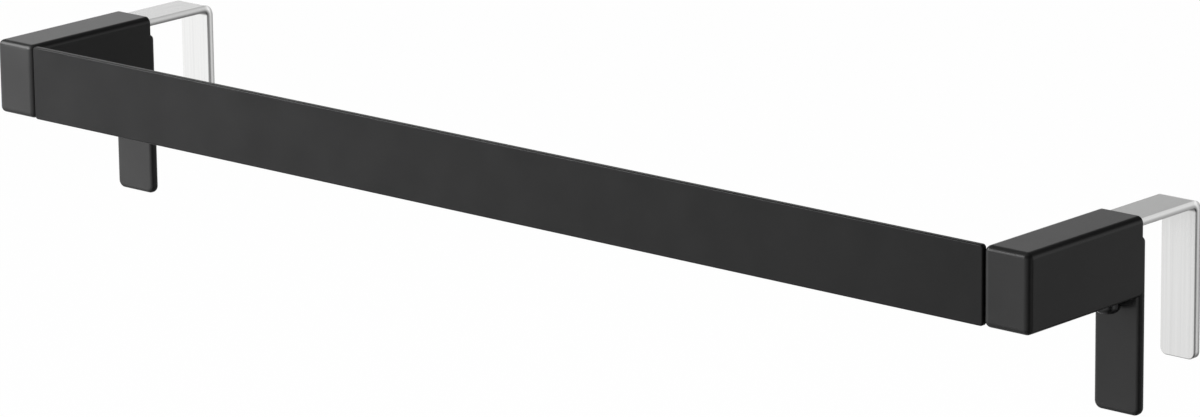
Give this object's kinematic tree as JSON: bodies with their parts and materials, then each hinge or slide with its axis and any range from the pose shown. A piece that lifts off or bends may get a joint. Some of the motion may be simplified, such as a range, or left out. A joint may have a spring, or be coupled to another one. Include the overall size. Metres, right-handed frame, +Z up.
{
  "type": "over-door towel bar",
  "caption": "Flat towel bar held off a door by a cast arm at each end, with a foot tab against the front and an adjustable bent steel strap hooked over the top edge.",
  "frame": {"origin": "the middle of the door's upper front edge: the tabs lie on the plane y = 0 and the hook straps rest on the plane z = 0", "axes": "+X runs along the bar to the right as seen from the room, +Y points through the door, +Z is up"},
  "size_m": [0.3202, 0.064, 0.0455],
  "materials": {
    "black_coat": "satin black powder coat with a fine grain",
    "bare_steel": "stainless strip, brushed along its length",
    "black_screw": "black oxide on a steel round-head screw",
    "plated_nut": "zinc plated steel"
  },
  "bodies": {
    "frame": {"bar": "black_coat", "bracket_left": "black_coat", "bracket_right": "black_coat", "clamp_screw_left": "black_screw", "clamp_screw_right": "black_screw", "bar_nut_left": "plated_nut", "bar_nut_right": "plated_nut"},
    "left_hook": {"hook_strap_left": "bare_steel"},
    "right_hook": {"hook_strap_right": "bare_steel"}
  },
  "joints": [
    {"name": "left_hook_slide", "type": "slide", "parent": "frame", "child": "left_hook", "axis": [0, 1, 0], "range_m": [-0.008, 0.005]},
    {"name": "right_hook_slide", "type": "slide", "parent": "frame", "child": "right_hook", "axis": [0, 1, 0], "range_m": [-0.008, 0.005]}
  ]
}
